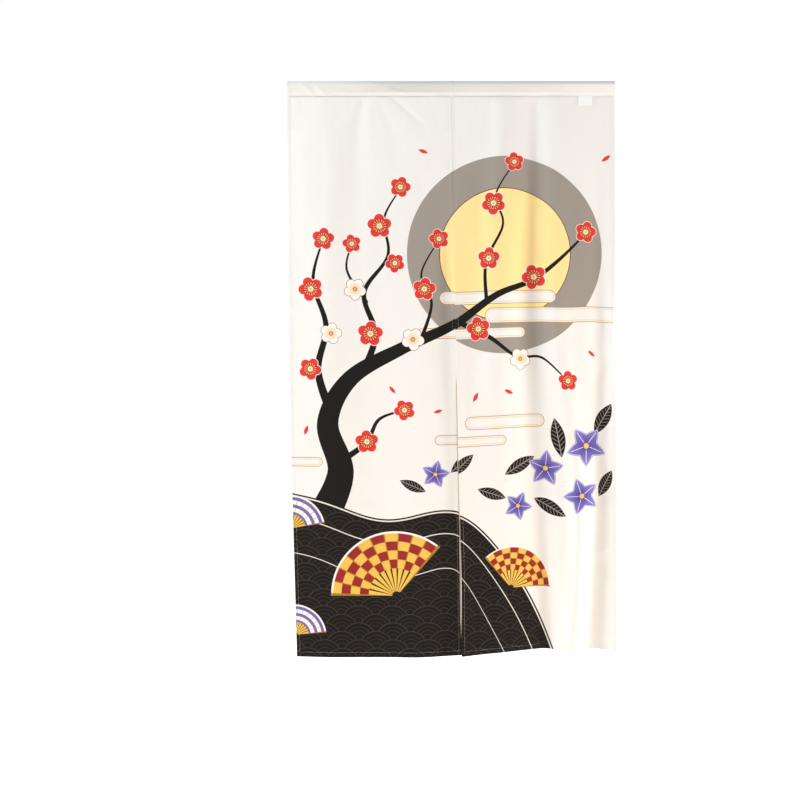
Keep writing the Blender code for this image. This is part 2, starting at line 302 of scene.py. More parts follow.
BLOSSOMS = (
    Motif(-0.335, -0.371, 0.030, 10, RED_BLOSSOM),
    Motif(-0.368, -0.501, 0.033, 40, RED_BLOSSOM),
    Motif(-0.318, -0.616, 0.028, 5, PALE_BLOSSOM),
    Motif(-0.372, -0.708, 0.030, 62, RED_BLOSSOM),
    Motif(-0.262, -0.383, 0.025, 30, RED_BLOSSOM),
    Motif(-0.255, -0.501, 0.029, 55, PALE_BLOSSOM),
    Motif(-0.135, -0.236, 0.028, 0, RED_BLOSSOM),
    Motif(-0.190, -0.337, 0.033, 20, RED_BLOSSOM),
    Motif(-0.152, -0.433, 0.026, 48, RED_BLOSSOM),
    Motif(-0.218, -0.616, 0.034, 12, RED_BLOSSOM),
    Motif(-0.038, -0.371, 0.027, 33, RED_BLOSSOM),
    Motif(-0.078, -0.501, 0.031, 8, RED_BLOSSOM),
    Motif(-0.110, -0.631, 0.030, 60, PALE_BLOSSOM),
    Motif(0.162, -0.173, 0.026, 25, RED_BLOSSOM),
    Motif(0.106, -0.281, 0.032, 50, RED_BLOSSOM),
    Motif(0.092, -0.424, 0.030, 14, RED_BLOSSOM),
    Motif(0.212, -0.474, 0.034, 38, RED_BLOSSOM),
    Motif(0.348, -0.358, 0.029, 3, RED_BLOSSOM),
    Motif(0.062, -0.605, 0.033, 28, RED_BLOSSOM),
    Motif(0.175, -0.686, 0.029, 52, PALE_BLOSSOM),
    Motif(0.302, -0.743, 0.027, 18, RED_BLOSSOM),
    Motif(-0.135, -0.814, 0.028, 44, RED_BLOSSOM),
    Motif(-0.232, -0.896, 0.031, 22, RED_BLOSSOM),
)
BELLS = (
    Motif(0.235, -0.973, 0.050, 12, 0.0),
    Motif(0.345, -0.915, 0.056, -20, 0.0),
    Motif(0.330, -1.045, 0.050, 36, 0.0),
    Motif(0.158, -1.069, 0.040, -8, 0.0),
    Motif(-0.060, -0.982, 0.038, 5, 0.0),
)
DARK_LEAF, RED_PETAL = 0.0, 0.05
LEAVES = (
    Motif(0.270, -0.891, 0.052, 100, DARK_LEAF),
    Motif(0.392, -0.843, 0.048, 60, DARK_LEAF),
    Motif(0.165, -0.963, 0.046, 28, DARK_LEAF),
    Motif(0.245, -1.074, 0.048, -28, DARK_LEAF),
    Motif(0.395, -1.011, 0.040, 64, DARK_LEAF),
    Motif(0.088, -1.032, 0.040, -20, DARK_LEAF),
    Motif(0.010, -0.953, 0.040, 40, DARK_LEAF),
    Motif(-0.118, -1.011, 0.036, 155, DARK_LEAF),
    Motif(0.402, -0.164, 0.014, 35, RED_PETAL),
    Motif(-0.075, -0.144, 0.013, -20, RED_PETAL),
    Motif(0.370, -0.674, 0.012, -40, RED_PETAL),
    Motif(0.050, -0.780, 0.014, 60, RED_PETAL),
    Motif(-0.050, -0.819, 0.012, 15, RED_PETAL),
    Motif(0.140, -0.770, 0.013, -25, RED_PETAL),
    Motif(-0.165, -0.761, 0.012, -50, RED_PETAL),
    Motif(-0.385, -0.867, 0.013, 70, RED_PETAL),
)
GOLD_FAN, VIOLET_FAN = 0.0, 0.05
FANS = (
    Motif(-0.165, -1.295, 0.170, 24, GOLD_FAN),
    Motif(0.135, -1.281, 0.110, -26, GOLD_FAN),
    Motif(-0.426, -1.398, 0.080, -18, VIOLET_FAN),
    Motif(-0.430, -1.122, 0.088, -14, VIOLET_FAN),
)
WAVE_RADIUS = 0.044

# The water's edge: its height at the left end, its even fall, and where and how fast it
# drops away towards the right
WATER_LEVEL = -1.021
WATER_LEFT = -0.42
WATER_FALL = 0.21
WATER_BEND = -0.02
WATER_DROP = 3.9

# How far the right panel's print has slipped up at the bottom, in millimetres, and the
# stretch below the stitch line over which it does
PRINT_SLIP = 6.0
PRINT_SLIP_START = 270.0
PRINT_SLIP_LENGTH = 700.0

# How much of the print shows on the reverse
REVERSE_INK = 0.42

# Kind of a place where no motif is near
OUTSIDE = 2.0

# The UV map: its span and the flat place of its corner, in metres
FLAT_SPAN = 1.6
FLAT_START = (0.44, 1.48)

# Half the width over which an ink's edge fades, in metres
INK_EDGE = 0.0004

# Inks that more than one motif shares
FOAM = "#E6E2DA"
IVORY = "#F1EEE8"
PALE_VIOLET = "#E4E1F4"

# The photograph: its width, its scale in millimetres a pixel, and the pixels of the
# curtain's middle and top edge
SENSOR = 36.0
PHOTO_PIXELS = 800
PHOTO_SCALE = 2.595
PHOTO_CENTRE_X = 450.75
PHOTO_TOP_Y = 81.2


def linear(hex_colour):
    """The linear red, green and blue of an sRGB hex colour."""
    channels = [int(hex_colour[i : i + 2], 16) / 255 for i in (1, 3, 5)]
    return tuple(c / 12.92 if c <= 0.04045 else ((c + 0.055) / 1.055) ** 2.4 for c in channels)


def colour(name, description, hex_colour):
    return FloatVectorProperty(
        name=name,
        description=description,
        subtype="COLOR",
        size=3,
        min=0.0,
        max=1.0,
        default=linear(hex_colour),
    )


def measure(name, description, metres):
    return FloatProperty(name=name, description=description, default=metres, unit="LENGTH")


def wattage(name, description, watts):
    return FloatProperty(name=name, description=description, default=watts, unit="POWER")


class NorenCloth(PropertyGroup):
    thickness: measure("Cloth thickness", "Thickness of one layer of the cloth", 0.0006)
    crumple: measure("Crumple", "Height of the small uneven dents all over the cloth", 0.0007)
    thread_pitch: measure(
        "Thread pitch",
        "Spacing of the drawn threads, coarser than the real 0.4 mm so that it shows",
        0.0012,
    )
    single: colour("Single cloth", "White cloth where one layer lets some light through", "#EBEAE7")
    layered: colour("Layered cloth", "White cloth where layers are folded together", "#E7E6E3")
    # Painted shade: a darker white that the pocket's cloth takes where it stands in shade
    shaded: colour("Shaded cloth", "White cloth of the pocket, which no light shines through", "#D2D1CE")
    grey: colour("Grey ink", "Ink of the moon's halo", "#9C948C")
    yellow: colour("Yellow ink", "Ink of the moon", "#F8D98A")
    gold: colour("Gold ink", "Ink of the fans and the mist's lines", "#E9BC55")
    bronze: colour("Bronze ink", "Ink of thin lines on gold", "#A87A2A")
    black: colour("Black ink", "Ink of the water and the branches", "#120E0B")
    red: colour("Red ink", "Ink of the blossoms", "#DE3A36")
    crimson: colour("Crimson ink", "Ink of the blossoms' hearts and the fans' squares", "#962828")
    violet: colour("Violet ink", "Ink of the bellflowers", "#6B62B0")
    # Painted warm shade: the beige that replaces the print on the unprinted strip along the slit
    selvage: colour("Selvage", "Unprinted woven edge that shows along the slit", "#D6C0A4")
    thread: colour("Thread", "Polyester sewing thread", "#E9E7E2")
    tape: colour("Label tape", "Blank satin tape of the care label", "#FBFCFC")


class NorenStudio(PropertyGroup):
    distance: measure("Camera distance", "From the camera to the curtain", 4.0)
    floor: measure("Floor height", "Height of the floor below the rod", -2.0)
    ambient: FloatProperty(
        name="Surrounding light",
        description="Strength of the even light from all around",
        default=0.22,
        min=0.0,
    )
    left: wattage(
        "Left light",
        "Power of the upper soft strip at the left, four times that of the lower",
        66.0,
    )
    right: wattage("Right light", "Power of each of the two soft strips at the right", 28.0)
    front: wattage(
        "Front light",
        "Power of the soft light in front at the left, twice that at the right",
        7.0,
    )
    overhead: wattage("Overhead light", "Power of the soft light above and in front", 12.0)
    bounce: wattage(
        "Warm bounce",
        "Power of each of the two warm lights from the floor in front",
        8.0,
    )
    behind: wattage(
        "Light behind",
        "Power of the soft light that shows the reverse of the cloth",
        60.0,
    )
    paper: colour("Studio white", "Floor and surroundings", "#FFFFFF")


def smooth(t):
    """Runs from 0 at t = 0 to 1 at t = 1, level at both ends."""
    t = np.clip(t, 0.0, 1.0)
    return t * t * (3.0 - 2.0 * t)


def hump(offset):
    """A soft bell of height 1, with its half width at an offset of 1."""
    return np.exp(-offset * offset)


def through(rows, key, value, column):
    """The column's value where the key column is value, on a smooth curve through the rows."""
    rows = sorted(rows, key=lambda row: getattr(row, key))
    keys = np.array([getattr(row, key) for row in rows], float)
    values = np.array([getattr(row, column) for row in rows], float)
    low = np.maximum(np.arange(len(keys)) - 1, 0)
    high = np.minimum(np.arange(len(keys)) + 1, len(keys) - 1)
    slopes = (values[high] - values[low]) / (keys[high] - keys[low])
    value = np.clip(value, keys[0], keys[-1])
    after = np.clip(np.searchsorted(keys, value), 1, len(keys) - 1)
    before = after - 1
    span = keys[after] - keys[before]
    t = (value - keys[before]) / span
    level = smooth(t)
    return (
        (1.0 - level) * values[before]
        + level * values[after]
        + t * (1.0 - t) ** 2 * slopes[before] * span
        - t * t * (1.0 - t) * slopes[after] * span
    )


def fold_rise(stations, x, z):
    centre = through(stations, "z", z, "x")
    width = through(stations, "z", z, "width")
    return through(stations, "z", z, "rise") * hump((x - centre) / width)


def dent_rise(dent, x, z):
    along = (x - dent.x) / dent.length
    line = dent.z - dent.drop * along
    return dent.rise * hump(along) * hump((z - line) / dent.height)


def seam_rise(x, z):
    offset = x - through(EDGES, "z", z, "slit")
    ridge = SEAM_RIDGE * hump(offset / SEAM_RIDGE_WIDTH)
    groove = SEAM_GROOVE * hump(offset / SEAM_GROOVE_WIDTH)
    return (ridge - groove) * smooth((z - SEAM_END + SEAM_FADE) / SEAM_FADE)


def drape(folds, x, z):
    """How far the cloth stands out towards the viewer, in millimetres."""
    rise = sum(fold_rise(stations, x, z) for stations in folds.values())
    rise = rise + sum(dent_rise(dent, x, z) for dent in DIMPLES)
    return rise * smooth(z / FOLDS_FULL_Z) + seam_rise(x, z)


def uneven(x, z, across, down, seed):
    """Smooth noise from -1 to 1 whose lumps are across wide and down tall, in millimetres."""
    places = zip((x / across).ravel(), (z / down).ravel())
    values = [noise.noise(Vector((a, b, seed))) for a, b in places]
    return np.array(values).reshape(np.shape(x))


class Side:
    """One half of the curtain: a cloth from its flap's edge over the rod to its bottom hem."""

    def __init__(self, name, hem, folds):
        self.name = name
        self.hem = hem
        self.folds = folds

    def ends(self, z):
        slit = through(EDGES, "z", z, "slit")
        space = through(EDGES, "z", z, "space")
        opening = SLIT_OPENING * np.maximum(space - SLIT_CLOSED_SPACE, 0.0)
        half = np.where(z > SEAM_END, SEWN_HALF_GAP, opening)
        lap = SLIT_LAP * smooth((SEAM_END - SLIT_LAP_FADE - z) / SLIT_LAP_FADE)
        lap = lap * (half < LAPPED_BELOW)
        if self.name == "left":
            return through(EDGES, "z", z, "left"), slit - half + lap
        return slit + half, through(EDGES, "z", z, "right")

    def panel(self, share, down):
        """Middle of the cloth below the stitch line, down from 0 at the line to 1 at the hem."""
        low = through(self.hem, "share", share, "z")
        z = STITCH_Z + down * (low - STITCH_Z)
        left, right = self.ends(z)
        x = left + share * (right - left)
        return x, -drape(self.folds, x, z) - self.details(x, z, share, z - low), z

    def details(self, x, z, share, over_hem):
        """Small relief: sewn edges, gathers under the stitch line and crumple."""
        cloth = bpy.context.scene.noren_cloth
        below = STITCH_Z - z
        from_side = np.minimum(share, 1.0 - share) * PANEL_WIDTH
        sewn = -SIDE_DIP * hump((from_side - SIDE_HEM) / DIP_WIDTH)
        sewn = sewn - HEM_DIP * hump((over_hem - BOTTOM_HEM) / DIP_WIDTH)
        pull = uneven(x, z, 60.0, 9.0, 3.1) * hump((from_side - SIDE_HEM) / 9.0)
        pull = pull + uneven(x, z, 9.0, 60.0, 4.7) * hump((over_hem - BOTTOM_HEM) / 10.0)
        gather = uneven(x, z, 8.0, 90.0, 1.7) * np.exp(-below / 22.0)
        slow = uneven(x, z, 55.0, 150.0, 7.3)
        quick = uneven(x, z, 22.0, 48.0, 11.9)
        crumple = (1.4 * slow + 0.45 * quick) * cloth.crumple / MM
        turned = SEAM_TURN * hump(from_side / 0.8) * self.near_slit(share) * (z > SEAM_END)
        bend = (1.0 - from_side / BARE_EDGE).clip(0.0) ** 2
        turned = turned + BARE_TURN * bend * self.bare(share, z)
        return sewn + 0.3 * pull + 0.9 * gather + crumple * smooth(below / 30.0) - turned

    def bare(self, share, z):
        """1 on the strip at the slit that turns back and takes no ink, 0 elsewhere."""
        if self.name == "right":
            return np.zeros_like(z)
        strip = (1.0 - share) * PANEL_WIDTH < BARE_EDGE
        return strip * smooth((BARE_TOP - z) / 40.0) * smooth((z - BARE_END) / 40.0)

    def near_slit(self, share):
        return share > 0.5 if self.name == "left" else share < 0.5


SIDES = (Side("left", LEFT_HEM, LEFT_FOLDS), Side("right", RIGHT_HEM, RIGHT_FOLDS))


def pocket_path():
    """The cloth's middle around the rod, as (y, z) from the flap's edge to the stitch line."""
    half = STITCH_THICKNESS / 2.0 - CLOTH_HALF
    radius = POCKET_RADIUS - CLOTH_HALF
    reach = math.hypot(half, STITCH_Z)
    touch = math.atan2(STITCH_Z, half) + math.acos(radius / reach)
    end_y = radius * math.cos(touch)
    end_z = radius * math.sin(touch)
    front = [(-FLAP_STAND_OFF, FLAP_EDGE_Z), (-FLAP_STAND_OFF - 0.05, FLAP_EDGE_Z + 0.7)]
    for step in range(10):
        t = (step / 10) ** 1.3
        y = -FLAP_STAND_OFF - t * (end_y - FLAP_STAND_OFF)
        front.append((y, STITCH_Z + t * (end_z - STITCH_Z)))
    over = []
    for step in range(15):
        angle = math.pi - touch - (math.pi - 2.0 * touch) * step / 14
        over.append((radius * math.cos(angle), radius * math.sin(angle)))
    back = []
    for step in range(1, 9):
        t = step / 8
        back.append((end_y + t * (0.4 - end_y), end_z + t * (STITCH_Z - 0.5 - end_z)))
    return front + over + back


def flap_layers(z):
    """1 where the flap's raw edge is turned in, 0 above it."""
    return smooth((FLAP_EDGE_Z + FLAP_TURN - z) / 1.0 + 0.5)


def stroke(places, points, reach=0.010):
    """For each place: its distance from the stroke's middle, with a sign for the side, the
    stroke's half width there, and 1 where it is too far off or past an end; also its distance
    from the stroke's edge."""
    points = np.array(points, float)
    count = len(points)
    fine = []
    for i in range(count - 1):
        before = points[max(i - 1, 0)]
        after = points[min(i + 2, count - 1)]
        for step in range(10):
            t = step / 10
            bend = t * (1 - t) ** 2 * (points[i + 1] - before) / 2
            bend = bend - t * t * (1 - t) * (after - points[i]) / 2
            fine.append(points[i] + smooth(t) * (points[i + 1] - points[i]) + bend)
    fine.append(points[-1])
    best = np.full(len(places), 1e9)
    out = np.zeros((len(places), 3))
    for number, (a, b) in enumerate(zip(fine[:-1], fine[1:])):
        line = b[:2] - a[:2]
        off = places - a[:2]
        share = (off @ line) / (line @ line)
        t = np.clip(share, 0.0, 1.0)
        away = off - t[:, None] * line
        side = np.where(line[0] * off[:, 1] - line[1] * off[:, 0] < 0, -1.0, 1.0)
        half = a[2] + t * (b[2] - a[2])
        distance = np.hypot(away[:, 0], away[:, 1])
        past = (number == 0) & (share < 0.0) | (number == len(fine) - 2) & (share > 1.0)
        closer = distance - half < best
        best = np.where(closer, distance - half, best)
        out[closer] = np.column_stack([side * distance, half, past])[closer]
    out[:, 2] = np.maximum(out[:, 2], best > reach)
    return out, best


def stroke_field(places, strokes):
    best = np.full(len(places), 1e9)
    out = np.zeros((len(places), 3))
    for points in strokes:
        values, distance = stroke(places, points)
        closer = distance < best
        out[closer] = values[closer]
        best = np.minimum(best, distance)
    return out


def motif_field(places, motifs, room=0.006):
    """For each place: where it is on the nearest motif, as a share of the motif's size, and
    the motif's kind, or OUTSIDE where no motif is near."""
    best = np.full(len(places), 1e9)
    out = np.zeros((len(places), 3))
    for motif in motifs:
        off = places - (motif.x, motif.y)
        distance = np.hypot(off[:, 0], off[:, 1]) - motif.size
        turn = math.radians(motif.turn)
        along = (off[:, 0] * math.cos(turn) + off[:, 1] * math.sin(turn)) / motif.size
        across = (off[:, 1] * math.cos(turn) - off[:, 0] * math.sin(turn)) / motif.size
        kind = np.where(distance < room, motif.kind, OUTSIDE)
        closer = distance < best
        out[closer] = np.column_stack([along, across, kind])[closer]
        best = np.minimum(best, distance)
    return out


def moon_field(places):
    return np.hypot(places[:, 0] - MOON[0], places[:, 1] - MOON[1])


def mist_field(places):
    """Signed distance into the nearest band of mist."""
    best = np.full(len(places), -1e9)
    for left, right, height, half in MIST:
        x = np.clip(places[:, 0], left + half, right - half)
        best = np.maximum(best, half - np.hypot(places[:, 0] - x, places[:, 1] - height))
    return best


def water_field(places):
    """Depth below the water's rolling edge, which is highest at the left and falls to the
    bottom hem right of the slit."""

    def edge(x):
        swell = 0.026 * np.sin(9.0 * x + 1.0) + 0.010 * np.sin(21.0 * x + 2.4)
        drop = WATER_DROP * np.maximum(x - WATER_BEND, 0.0) ** 2
        return WATER_LEVEL - WATER_FALL * (x - WATER_LEFT) - drop + swell

    x = places[:, 0]
    slope = (edge(x + 0.001) - edge(x - 0.001)) / 0.002
    return (edge(x) - places[:, 1]) / np.hypot(1.0, slope)


def add(tree, kind, *values, sockets=None, **settings):
    """Adds a shader node of the kind with its settings. The values, which are numbers, colours or
    other nodes' sockets, fill its inputs in order, and sockets fills inputs by name."""
    node = tree.nodes.new(f"ShaderNode{kind}")
    for name, value in settings.items():
        setattr(node, name, value)
    inputs = [socket for socket in node.inputs if socket.enabled]
    pairs = list(zip(inputs, values))
    pairs += [(node.inputs[name], value) for name, value in (sockets or {}).items()]
    for socket, value in pairs:
        if isinstance(value, bpy.types.NodeSocket):
            tree.links.new(value, socket)
        elif value is not None:
            socket.default_value = value
    return next((socket for socket in node.outputs if socket.enabled), None)


def maths(tree, operation, *values, **settings):
    return add(tree, "Math", *values, operation=operation, **settings)


def attribute(tree, name, output="Fac"):
    """What the mesh holds for each point under the name, as a number or a vector."""
    return add(tree, "Attribute", attribute_name=name).node.outputs[output]


def blend(tree, mask, under, over):
    """The under colour where the mask is 0 and the over colour where it is 1."""
    ends = [end if isinstance(end, bpy.types.NodeSocket) else (*end, 1.0) for end in (under, over)]
    return add(tree, "Mix", mask, *ends, data_type="RGBA")


def flat_place(tree):
    """Where a point is on the flat cloth, in metres, read from the piece's UV map."""
    uv = add(tree, "UVMap", uv_map="Flat cloth")
    scale = (FLAT_SPAN, FLAT_SPAN, 1.0)
    start = (-FLAT_START[0], -FLAT_START[1], 0.0)
    return add(tree, "VectorMath", uv, scale, start, operation="MULTIPLY_ADD")


def wave_lines(tree, place):
    """1 on the white arcs of the overlapping waves, 0 between them."""
    parts = add(tree, "SeparateXYZ", place).node
    x = maths(tree, "MULTIPLY", parts.outputs[0], 1 / WAVE_RADIUS)
    y = maths(tree, "MULTIPLY", parts.outputs[1], 2 / WAVE_RADIUS)
    row = maths(tree, "FLOOR", y)
    over = maths(tree, "FRACT", y)
    shifted = maths(tree, "ADD", x, row)
    near = maths(tree, "PINGPONG", shifted, 1.0)
    far = maths(tree, "SUBTRACT", 1.0, near)
    low = maths(tree, "MULTIPLY", over, 0.5)
    high = maths(tree, "MULTIPLY_ADD", over, 0.5, 0.5)
    own = add(tree, "CombineXYZ", near, low, 0.0)
    below = add(tree, "CombineXYZ", far, high, 0.0)
    own = add(tree, "VectorMath", own, operation="LENGTH").node.outputs["Value"]
    below = add(tree, "VectorMath", below, operation="LENGTH").node.outputs["Value"]
    covered = maths(tree, "LESS_THAN", below, 1.0)
    ring = add(tree, "Mix", covered, own, below)
    lines = add(tree, "ValToRGB", ring).node
    lines.color_ramp.interpolation = "CONSTANT"
    stops = lines.color_ramp.elements
    stops[0].color = (0, 0, 0, 1)
    stops[1].position = 0.28
    for start, width in ((0.28, 0.035), (0.50, 0.035), (0.72, 0.035), (0.94, 0.06)):
        stop = stops[1] if start == 0.28 else stops.new(start)
        stop.color = (1, 1, 1, 1)
        if start + width < 1.0:
            stops.new(start + width).color = (0, 0, 0, 1)
    return lines.outputs["Color"]


def printed_colour(tree, place, cloth, ground):
    """The print over the ground colour, from the moon at the back to the blossoms in front."""

    def inside(depth, edge=INK_EDGE):
        return add(tree, "MapRange", depth, -edge, edge)

    def ink(under, mask, over):
        return blend(tree, mask, under, over)

    def band(value, low, high, edge):
        rising = add(tree, "MapRange", value, low - edge, low + edge)
        falling = add(tree, "MapRange", value, high + edge, high - edge)
        return maths(tree, "MULTIPLY", rising, falling)

    colour = ground

    moon = attribute(tree, "moon")
    cloudy = add(tree, "TexNoise", place, None, 9.0, 4.0, 0.6)
    paler = blend(tree, cloudy, cloth.yellow, linear("#FFE9AC"))
    colour = ink(colour, band(moon, -1.0, HALO_RADIUS, INK_EDGE), cloth.grey)
    colour = ink(colour, band(moon, -1.0, MOON_RADIUS, INK_EDGE), paler)
    colour = ink(colour, band(moon, MOON_RADIUS - 0.0006, MOON_RADIUS + 0.0012, INK_EDGE), cloth.black)

    mist = attribute(tree, "mist")
    colour = ink(colour, inside(mist), ground)
    colour = ink(colour, band(mist, 0.0, 0.0016, INK_EDGE), cloth.bronze)
    colour = ink(colour, band(mist, 0.0050, 0.0062, INK_EDGE), cloth.gold)

    for name in ("trunk", "twigs"):
        parts = add(tree, "SeparateXYZ", attribute(tree, name, "Vector")).node
        away = maths(tree, "ABSOLUTE", parts.outputs[0])
        depth = maths(tree, "SUBTRACT", parts.outputs[1], away)
        depth = maths(tree, "MULTIPLY_ADD", parts.outputs[2], -0.05, depth)
        bark = add(tree, "TexNoise", place, None, 60.0, 5.0, 0.7)
        bark = add(tree, "MapRange", bark, 0.62, 0.66, 0.0, 0.45)
        bark = ink(cloth.black, bark, cloth.grey)
        colour = ink(colour, inside(depth), bark)

    water = attribute(tree, "water")
    colour = ink(colour, inside(water), cloth.black)
    line = maths(tree, "MULTIPLY", wave_lines(tree, place), band(water, 0.012, 9.0, INK_EDGE))
    colour = ink(colour, line, linear("#352D27"))
    colour = ink(colour, band(water, 0.004, 0.0075, INK_EDGE), linear(FOAM))
    colour = ink(colour, band(water, 0.060, 0.0625, INK_EDGE), linear(FOAM))
    colour = ink(colour, band(water, 0.150, 0.1520, INK_EDGE), linear(FOAM))

    colour = fans(tree, attribute(tree, "fan", "Vector"), cloth, colour, ink, band)
    colour = leaves(tree, attribute(tree, "leaf", "Vector"), cloth, colour, ink, band)
    colour = bells(tree, attribute(tree, "bell", "Vector"), cloth, colour, ink, band)
    return blossoms(tree, attribute(tree, "blossom", "Vector"), cloth, colour, ink, band)


def radius_on(tree, local, kind):
    """Distance from the motif's middle, and far more than its size where no motif is near."""
    out = add(tree, "VectorMath", local, (1.0, 1.0, 0.0), operation="MULTIPLY")
    out = add(tree, "VectorMath", out, operation="LENGTH").node.outputs["Value"]
    off = maths(tree, "GREATER_THAN", kind, 1.0)
    return maths(tree, "MULTIPLY_ADD", off, 10.0, out)


def fans(tree, local, cloth, colour, ink, band):
    """Open folding fans: a checked or ringed leaf on thin sticks."""
    parts = add(tree, "SeparateXYZ", local).node
    x, y, kind = parts.outputs
    out = radius_on(tree, local, kind)
    angle = maths(tree, "ARCTAN2", x, y)
    angle = maths(tree, "MULTIPLY", angle, 1 / 1.15)
    wide = maths(tree, "ABSOLUTE", angle)
    open_angle = band(wide, -1.0, 1.0, 0.004)
    leaf = maths(tree, "MULTIPLY", open_angle, band(out, 0.42, 0.97, 0.003))
    sticks = maths(tree, "MULTIPLY", open_angle, band(out, 0.07, 0.42, 0.003))

    column = maths(tree, "MULTIPLY", angle, 5.0)
    column = maths(tree, "FLOOR", column)
    ring = maths(tree, "MULTIPLY_ADD", out, 1 / 0.137, -0.42 / 0.137)
    ring = maths(tree, "FLOOR", ring)
    check = maths(tree, "ADD", column, ring)
    check = maths(tree, "PINGPONG", check, 1.0)
    checked = ink(cloth.gold, check, cloth.crimson)
    rings = maths(tree, "PINGPONG", out, 0.11)
    rings = band(rings, 0.048, 0.2, 0.003)
    ringed = ink(cloth.violet, rings, linear(IVORY))
    violet = maths(tree, "GREATER_THAN", kind, 0.02)
    face = blend(tree, violet, checked, ringed)

    pleat = maths(tree, "PINGPONG", angle, 0.1)
    fold = band(pleat, -1.0, 0.008, 0.004)
    face = ink(face, fold, cloth.bronze)
    colour = ink(colour, leaf, face)
    stick = band(pleat, 0.028, 1.0, 0.005)
    wood = ink(cloth.black, stick, cloth.gold)
    colour = ink(colour, sticks, wood)

    rim = maths(tree, "MULTIPLY", open_angle, band(out, 0.955, 0.985, 0.003))
    side = maths(tree, "MULTIPLY", band(wide, 0.965, 1.0, 0.004), band(out, 0.07, 0.985, 0.003))
    colour = ink(colour, rim, linear(IVORY))
    return ink(colour, side, cloth.bronze)


def leaves(tree, local, cloth, colour, ink, band):
    """Pointed leaves with a pale rib, and small red petals that drift down."""
    parts = add(tree, "SeparateXYZ", local).node
    x, y, kind = parts.outputs
    near = maths(tree, "LESS_THAN", kind, 1.0)
    along = maths(tree, "POWER", x, 2.0)
    width = maths(tree, "MULTIPLY_ADD", along, -0.36, 0.36)
    away = maths(tree, "ABSOLUTE", y)
    depth = maths(tree, "SUBTRACT", width, away)
    shape = maths(tree, "MULTIPLY", band(depth, 0.0, 9.0, 0.012), near)
    petal = maths(tree, "GREATER_THAN", kind, 0.02)
    body = blend(tree, petal, cloth.black, cloth.red)
    colour = ink(colour, shape, body)

    slant = maths(tree, "MULTIPLY_ADD", away, -0.8, x)
    veins = maths(tree, "PINGPONG", slant, 0.11)
    veins = band(veins, -1.0, 0.014, 0.006)
    rib = band(away, -1.0, 0.022, 0.008)
    lines = maths(tree, "MAXIMUM", veins, rib)
    within = maths(tree, "MULTIPLY", lines, band(depth, 0.05, 9.0, 0.012))
    dark = maths(tree, "SUBTRACT", near, petal, use_clamp=True)
    within = maths(tree, "MULTIPLY", within, dark)
    return ink(colour, within, cloth.grey)


def bells(tree, local, cloth, colour, ink, band):
    """Violet bellflowers: five pointed petals with pale edges and a gold heart."""
    parts = add(tree, "SeparateXYZ", local).node
    out = radius_on(tree, local, parts.outputs[2])
    angle = maths(tree, "ARCTAN2", parts.outputs[1], parts.outputs[0])
    off = maths(tree, "PINGPONG", angle, math.pi / 5)
    share = maths(tree, "MULTIPLY_ADD", off, -5 / math.pi, 1.0)
    tip = maths(tree, "POWER", share, 1.5)
    edge = maths(tree, "MULTIPLY_ADD", tip, 0.40, 0.58)
    depth = maths(tree, "SUBTRACT", edge, out)
    shape = band(depth, 0.0, 9.0, 0.010)
    shade = add(tree, "MapRange", out, 0.15, 0.95)
    petal = ink(linear("#4C4394"), shade, linear("#8A82C8"))
    colour = ink(colour, shape, petal)
    rim = band(depth, 0.035, 0.065, 0.010)
    colour = ink(colour, rim, linear(PALE_VIOLET))
    rib = maths(tree, "MULTIPLY", off, out)
    rib = maths(tree, "MULTIPLY", band(rib, -1.0, 0.014, 0.006), band(out, 0.18, 0.80, 0.02))
    colour = ink(colour, rib, linear(PALE_VIOLET))
    return ink(colour, band(out, -1.0, 0.13, 0.01), cloth.gold)


def blossoms(tree, local, cloth, colour, ink, band):
    """Plum blossoms: five round petals, a crimson heart and fine gold stamens."""
    parts = add(tree, "SeparateXYZ", local).node
    out = radius_on(tree, local, parts.outputs[2])
    angle = maths(tree, "ARCTAN2", parts.outputs[1], parts.outputs[0])
    off = maths(tree, "PINGPONG", angle, math.pi / 5)
    cosine = maths(tree, "COSINE", off)
    sine = maths(tree, "SINE", off)
    along = maths(tree, "MULTIPLY", out, cosine)
    across = maths(tree, "MULTIPLY", out, sine)
    at = add(tree, "CombineXYZ", along, across, 0.0)
    from_middle = add(tree, "VectorMath", at, (0.56, 0.0, 0.0), operation="DISTANCE").node.outputs["Value"]
    pale = maths(tree, "GREATER_THAN", parts.outputs[2], 0.02)
    outline = ink(linear("#F4EFE8"), pale, cloth.crimson)
    colour = ink(colour, band(from_middle, -1.0, 0.44, 0.012), outline)
    shade = add(tree, "MapRange", out, 0.15, 0.75)
    red = ink(cloth.crimson, shade, cloth.red)
    white = ink(linear("#F0C9C0"), shade, linear("#FBF6F0"))
    petal = blend(tree, pale, red, white)
    colour = ink(colour, band(from_middle, -1.0, 0.395, 0.012), petal)
    colour = ink(colour, band(out, -1.0, 0.20, 0.012), outline)

    spoke = maths(tree, "PINGPONG", angle, math.pi / 15)
    spoke = maths(tree, "MULTIPLY", spoke, out)
    stamens = maths(tree, "MULTIPLY", band(spoke, -1.0, 0.012, 0.006), band(out, 0.15, 0.44, 0.01))
    dots = maths(tree, "MULTIPLY", band(spoke, -1.0, 0.036, 0.008), band(out, 0.43, 0.50, 0.01))
    gold = maths(tree, "MAXIMUM", stamens, dots)
    colour = ink(colour, gold, cloth.yellow)
    return ink(colour, band(out, -1.0, 0.12, 0.012), cloth.gold)


def new_material(name):
    """A material with its node tree and its surface shader."""
    material = bpy.data.materials.new(name)
    material.use_nodes = True
    return material, material.node_tree, material.node_tree.nodes["Principled BSDF"]


